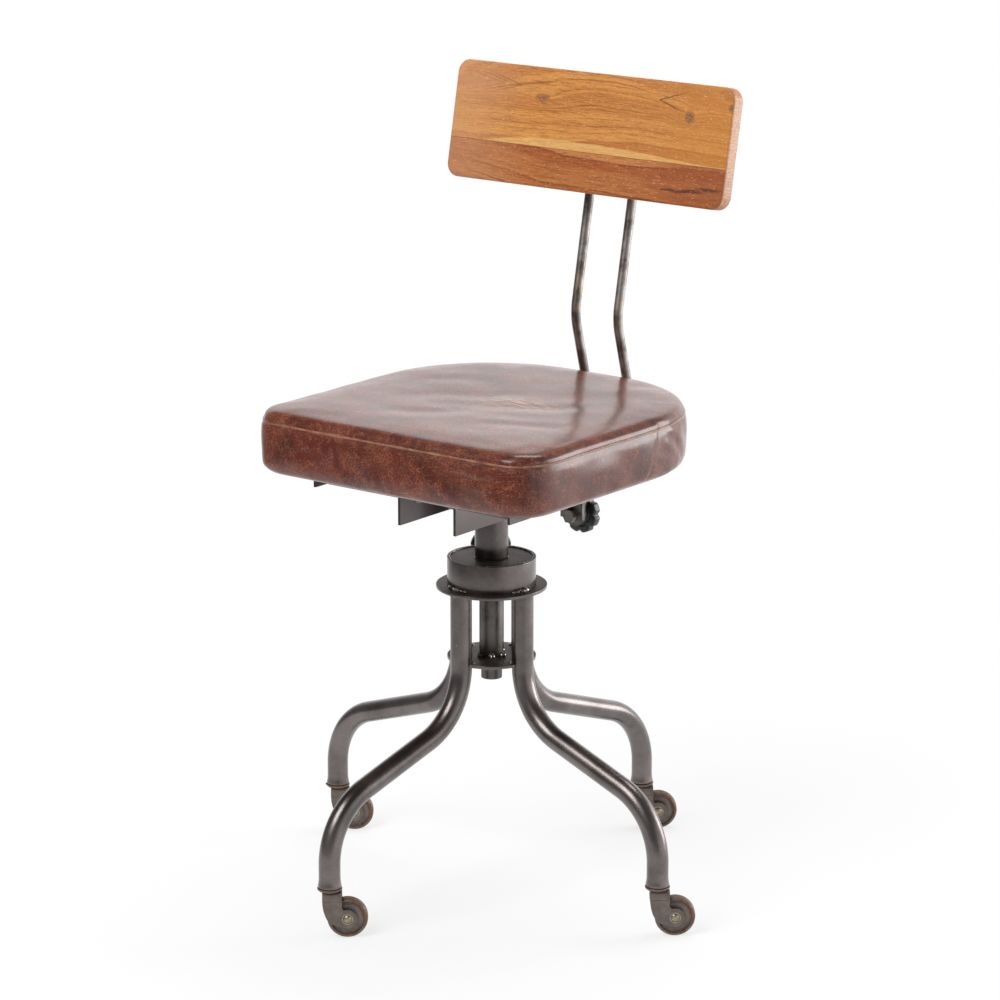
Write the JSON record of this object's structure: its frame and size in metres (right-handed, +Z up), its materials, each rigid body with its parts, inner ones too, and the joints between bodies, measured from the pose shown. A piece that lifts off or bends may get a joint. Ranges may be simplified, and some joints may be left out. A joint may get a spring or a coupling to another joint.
{
  "type": "swivel office chair",
  "caption": "Workshop swivel chair: bent tube legs on small casters, spindle-lifted padded leather seat, and a low plank backrest carried on twin bent rods.",
  "frame": {"origin": "on the floor, on the seat's swivel axis", "axes": "+Z up; -Y is the way the sitter faces, so the backrest is at +Y; +X is to the left of someone sitting in it"},
  "size_m": [0.4953, 0.4902, 0.8079],
  "materials": {
    "black_steel": "dark gunmetal, clear-coated, semi-gloss",
    "bright_steel": "turned and polished, lightly tarnished",
    "rusty_steel": "old plated steel, browned, rust at the edges",
    "wheel_iron": "worn bright on the tread, brown at the edges",
    "brass": "dull, rubbed bright",
    "knob_plastic": "satin",
    "bronze_bush": "oiled bearing bronze",
    "leather": "old oxblood leather, semi-gloss, fine crackle",
    "plywood": "unfinished birch plywood",
    "golden_wood": "oiled, satin, golden orange with knots",
    "red_wood": "oiled, satin, reddish brown with dark streaks"
  },
  "bodies": {
    "base": {"leg_front": "black_steel", "leg_right": "black_steel", "leg_rear": "black_steel", "leg_left": "black_steel", "top_flange": "black_steel", "spreader_plate": "black_steel", "centre_column": "bright_steel", "housing_drum": "black_steel", "housing_cover": "black_steel", "guide_bush": "bronze_bush", "lock_boss": "black_steel", "stem_sockets": "rusty_steel", "foot_washers": "rusty_steel"},
    "caster_front": {"caster_fork_front": "rusty_steel", "caster_stem_front": "rusty_steel", "caster_axle_front": "brass"},
    "wheel_front": {"caster_wheel_front": "wheel_iron"},
    "caster_right": {"caster_fork_right": "rusty_steel", "caster_stem_right": "rusty_steel", "caster_axle_right": "brass"},
    "wheel_right": {"caster_wheel_right": "wheel_iron"},
    "caster_rear": {"caster_fork_rear": "rusty_steel", "caster_stem_rear": "rusty_steel", "caster_axle_rear": "brass"},
    "wheel_rear": {"caster_wheel_rear": "wheel_iron"},
    "caster_left": {"caster_fork_left": "rusty_steel", "caster_stem_left": "rusty_steel", "caster_axle_left": "brass"},
    "wheel_left": {"caster_wheel_left": "wheel_iron"},
    "lock_pad": {"clamp_pad": "brass"},
    "lock_knob": {"lock_screw": "bright_steel", "lock_knob": "knob_plastic"},
    "spindle": {"spindle": "bright_steel", "thrust_ball": "bright_steel"},
    "seat": {"seat_post": "black_steel", "post_bushes": "bronze_bush", "post_plug": "bright_steel", "seat_channel": "black_steel", "seat_pan": "black_steel", "rail_screws": "bright_steel", "channel_bolts": "bright_steel", "seat_board": "plywood", "seat_cushion": "leather", "back_bracket": "bright_steel", "bracket_bolts": "bright_steel", "seat_rail_left": "black_steel", "seat_rail_right": "black_steel"},
    "backrest": {"back_rod_left": "bright_steel", "back_rod_right": "bright_steel", "board_upper_plank": "golden_wood", "board_lower_plank": "red_wood", "rod_foot": "bright_steel", "back_bolt": "bright_steel", "hat_bracket": "black_steel", "saddle_straps": "bright_steel", "strap_bolts": "bright_steel", "board_screws": "bright_steel"},
    "clamp_washer": {"clamp_washer": "bright_steel"},
    "back_knob": {"back_knob": "knob_plastic"}
  },
  "joints": [
    {"name": "caster_swivel_front", "type": "hinge", "parent": "base", "child": "caster_front", "pos_m": [-0.02648, -0.22543, 0.06], "axis": [0, 0, 1], "continuous": true},
    {"name": "wheel_roll_front", "type": "hinge", "parent": "caster_front", "child": "wheel_front", "pos_m": [-0.0129, -0.21471, 0.02], "axis": [-0.6198, 0.7848, 0], "continuous": true},
    {"name": "caster_swivel_right", "type": "hinge", "parent": "base", "child": "caster_right", "pos_m": [0.22543, -0.02648, 0.06], "axis": [0, 0, 1], "continuous": true},
    {"name": "wheel_roll_right", "type": "hinge", "parent": "caster_right", "child": "wheel_right", "pos_m": [0.23901, -0.01576, 0.02], "axis": [-0.6198, 0.7848, 0], "continuous": true},
    {"name": "caster_swivel_rear", "type": "hinge", "parent": "base", "child": "caster_rear", "pos_m": [0.02648, 0.22543, 0.06], "axis": [0, 0, 1], "continuous": true},
    {"name": "wheel_roll_rear", "type": "hinge", "parent": "caster_rear", "child": "wheel_rear", "pos_m": [0.04006, 0.23615, 0.02], "axis": [-0.6198, 0.7848, 0], "continuous": true},
    {"name": "caster_swivel_left", "type": "hinge", "parent": "base", "child": "caster_left", "pos_m": [-0.22543, 0.02648, 0.06], "axis": [0, 0, 1], "continuous": true},
    {"name": "wheel_roll_left", "type": "hinge", "parent": "caster_left", "child": "wheel_left", "pos_m": [-0.21185, 0.0372, 0.02], "axis": [-0.6198, 0.7848, 0], "continuous": true},
    {"name": "lock_pad_slide", "type": "slide", "parent": "base", "child": "lock_pad", "axis": [-0.6198, 0.7848, 0], "range_m": [0, 0.0019]},
    {"name": "lock_knob_turn", "type": "hinge", "parent": "lock_pad", "child": "lock_knob", "pos_m": [0, 0, 0.334], "axis": [-0.6198, 0.7848, 0], "range_deg": [0, 540]},
    {"name": "seat_lift", "type": "slide", "parent": "base", "child": "spindle", "axis": [0, 0, 1], "range_m": [0, 0.07]},
    {"name": "seat_swivel", "type": "hinge", "parent": "spindle", "child": "seat", "pos_m": [0, 0, 0.4], "axis": [0, 0, 1], "continuous": true},
    {"name": "back_height", "type": "slide", "parent": "seat", "child": "backrest", "axis": [0, 0, 1], "range_m": [0, 0.035]},
    {"name": "clamp_washer_slide", "type": "slide", "parent": "backrest", "child": "clamp_washer", "axis": [0, 1, 0], "range_m": [0, 0.0019]},
    {"name": "back_knob_turn", "type": "hinge", "parent": "clamp_washer", "child": "back_knob", "pos_m": [0, 0.14, 0.356], "axis": [0, 1, 0], "range_deg": [0, 540]}
  ],
  "couplings": [
    {"joint": "lock_pad_slide", "follows": "lock_knob_turn", "m_per_rad": 0.00019894},
    {"joint": "clamp_washer_slide", "follows": "back_knob_turn", "m_per_rad": 0.00019894}
  ]
}
